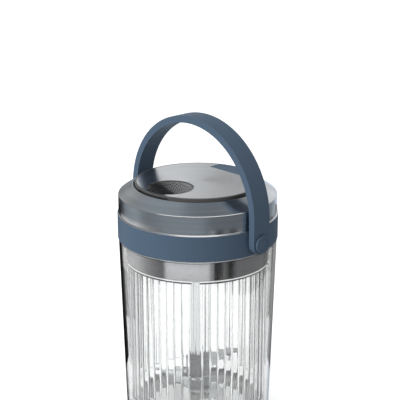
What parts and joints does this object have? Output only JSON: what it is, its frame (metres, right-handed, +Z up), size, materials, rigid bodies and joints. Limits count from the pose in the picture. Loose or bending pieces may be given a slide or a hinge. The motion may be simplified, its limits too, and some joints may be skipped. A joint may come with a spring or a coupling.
{
  "type": "hand crank blender",
  "caption": "Hand-cranked jar blender: geared crank wheel in a steel lid, clear fluted double-wall jar, shaft with blades and a swinging carry handle.",
  "frame": {"origin": "centre of the foot ring's underside, on the table", "axes": "+Z up along the jar, X along the pivot line of the handle, -Y the side with the finger dimple"},
  "size_m": [0.1028, 0.0912, 0.1816],
  "materials": {
    "clear_plastic": "clear glossy copolyester, fluted inside",
    "slate_plastic": "soft-touch slate blue, matte",
    "slate_rubber": "slate blue silicone rubber, matte",
    "polished_steel": "fine-brushed stainless steel, near mirror",
    "steel": "plain turned stainless steel",
    "blade_steel": "ground stainless steel, sharpened edges",
    "dark_plastic": "moulded dark grey plastic",
    "grey_plastic": "moulded mid grey plastic",
    "gear_plastic": "natural acetal, satin",
    "grip_rubber": "black elastomer with fine raised dots",
    "bronze": "oil-filled sintered bronze",
    "silicone": "translucent silicone"
  },
  "bodies": {
    "jar": {"outer_shell": "clear_plastic", "inner_liner": "clear_plastic", "neck_collar": "polished_steel", "foot_ring": "slate_rubber", "foot_bearing": "gear_plastic"},
    "gasket": {"lid_gasket": "silicone"},
    "lid": {"carry_ring": "slate_plastic", "lid_shell": "polished_steel", "bearing_plate": "grey_plastic", "crank_bush": "bronze", "plug_cup": "grey_plastic", "ring_gear": "gear_plastic", "shaft_bush": "bronze", "shaft_seal": "grip_rubber", "plate_screws": "steel", "handle_pins": "slate_plastic"},
    "handle": {"carry_handle": "slate_plastic"},
    "crank": {"crank_facing": "polished_steel", "crank_wheel": "dark_plastic", "grip_pad": "grip_rubber", "planet_carrier": "grey_plastic", "planet_axles": "steel", "carrier_screw": "steel", "carrier_washer": "bronze", "flap_wire": "steel"},
    "flap": {"crank_flap": "slate_plastic"},
    "planet_1": {"planet_gear_1": "gear_plastic"},
    "planet_2": {"planet_gear_2": "gear_plastic"},
    "planet_3": {"planet_gear_3": "gear_plastic"},
    "drive": {"drive_shaft": "steel", "sun_gear": "gear_plastic", "thrust_washer": "bronze", "retaining_clip": "steel", "blade_hub": "grey_plastic", "upper_blade": "blade_steel", "blade_spacer": "grey_plastic", "lower_blade": "blade_steel", "blade_nut": "steel"}
  },
  "joints": [
    {"name": "lid_lift", "type": "slide", "parent": "jar", "child": "gasket", "axis": [0, 0, 1], "range_m": [0, 0.115]},
    {"name": "lid_turn", "type": "hinge", "parent": "gasket", "child": "lid", "pos_m": [0, 0, 0.11215], "axis": [0, 0, 1], "range_deg": [-45, 0]},
    {"name": "handle_swing", "type": "hinge", "parent": "lid", "child": "handle", "pos_m": [0, 0, 0.11915], "axis": [1, 0, 0], "range_deg": [-115, 115]},
    {"name": "crank_spin", "type": "hinge", "parent": "lid", "child": "crank", "pos_m": [0, 0, 0.13215], "axis": [0, 0, 1], "continuous": true},
    {"name": "flap_fold", "type": "hinge", "parent": "crank", "child": "flap", "pos_m": [0, 0.025, 0.14315], "axis": [1, 0, 0], "range_deg": [0, 90]},
    {"name": "shaft_spin", "type": "hinge", "parent": "lid", "child": "drive", "pos_m": [0, 0, 0.11215], "axis": [0, 0, 1], "continuous": true},
    {"name": "planet_spin_1", "type": "hinge", "parent": "crank", "child": "planet_1", "pos_m": [0.0165, 0, 0.11765], "axis": [0, 0, 1], "continuous": true},
    {"name": "planet_spin_2", "type": "hinge", "parent": "crank", "child": "planet_2", "pos_m": [-0.00825, 0.01429, 0.11765], "axis": [0, 0, 1], "continuous": true},
    {"name": "planet_spin_3", "type": "hinge", "parent": "crank", "child": "planet_3", "pos_m": [-0.00825, -0.01429, 0.11765], "axis": [0, 0, 1], "continuous": true}
  ],
  "couplings": [
    {"joint": "shaft_spin", "follows": "crank_spin", "ratio": 5.5},
    {"joint": "planet_spin_1", "follows": "crank_spin", "ratio": -2.5714},
    {"joint": "planet_spin_2", "follows": "crank_spin", "ratio": -2.5714},
    {"joint": "planet_spin_3", "follows": "crank_spin", "ratio": -2.5714}
  ]
}
